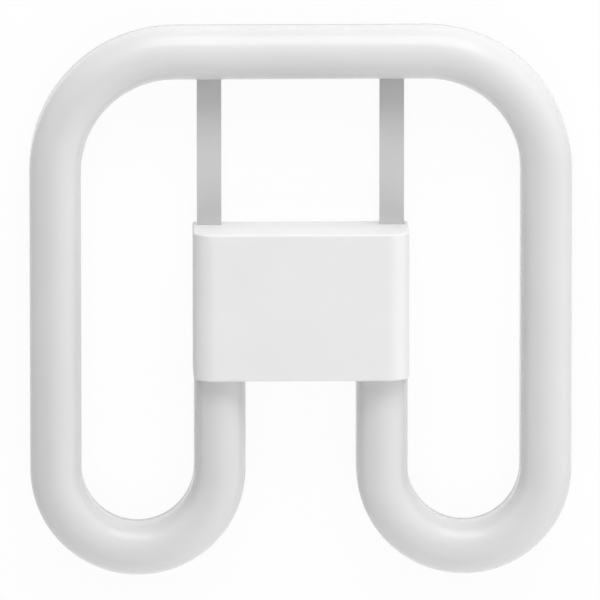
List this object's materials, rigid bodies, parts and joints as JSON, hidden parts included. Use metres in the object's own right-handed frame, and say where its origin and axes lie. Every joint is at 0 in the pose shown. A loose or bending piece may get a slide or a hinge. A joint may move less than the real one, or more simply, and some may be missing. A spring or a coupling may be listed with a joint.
{
  "type": "square led lamp",
  "caption": "Flat square LED lamp: a looped opal tube with a half-round front starts and ends at a block cap, tied by straps to the far run, with contact pins in a recess at its back.",
  "frame": {"origin": "middle of the lamp's outline, in the plane of the cap's rear face, on which the lamp lies", "axes": "+X to the right seen from the front, +Y from the cap towards the run that the straps reach, +Z out of the lamp's front"},
  "size_m": [0.138, 0.141, 0.021],
  "materials": {
    "opal_diffuser": "glossy opal polycarbonate",
    "rear_moulding": "satin white moulding",
    "cap_moulding": "satin white moulding",
    "pin_plating": "tin-plated brass",
    "strip_board": "white solder mask on aluminium",
    "led_package": "phosphor gel in a white package",
    "link_block": "ivory connector body",
    "circuit_board": "green solder mask",
    "can_sleeve": "shrunk-on dark sleeve",
    "resistor_lacquer": "flameproof lacquer",
    "package_resin": "moulded black resin",
    "ferrite": "sintered ferrite",
    "copper_winding": "enamelled copper",
    "wire_red": "red insulation",
    "wire_black": "black insulation"
  },
  "bodies": {
    "root": {"diffuser": "opal_diffuser", "rear_base": "rear_moulding", "cap_cover": "cap_moulding", "contact_pins": "pin_plating", "led_board_left": "strip_board", "led_board_right": "strip_board", "leds_left": "led_package", "leds_right": "led_package", "board_link": "link_block", "driver_board": "circuit_board", "input_capacitor": "can_sleeve", "output_capacitor": "can_sleeve", "fuse_resistor": "resistor_lacquer", "bridge_rectifier": "package_resin", "driver_chip": "package_resin", "freewheel_diode": "package_resin", "choke_core": "ferrite", "choke_winding": "copper_winding", "led_wire_left": "wire_red", "led_wire_right": "wire_black"}
  },
  "joints": []
}
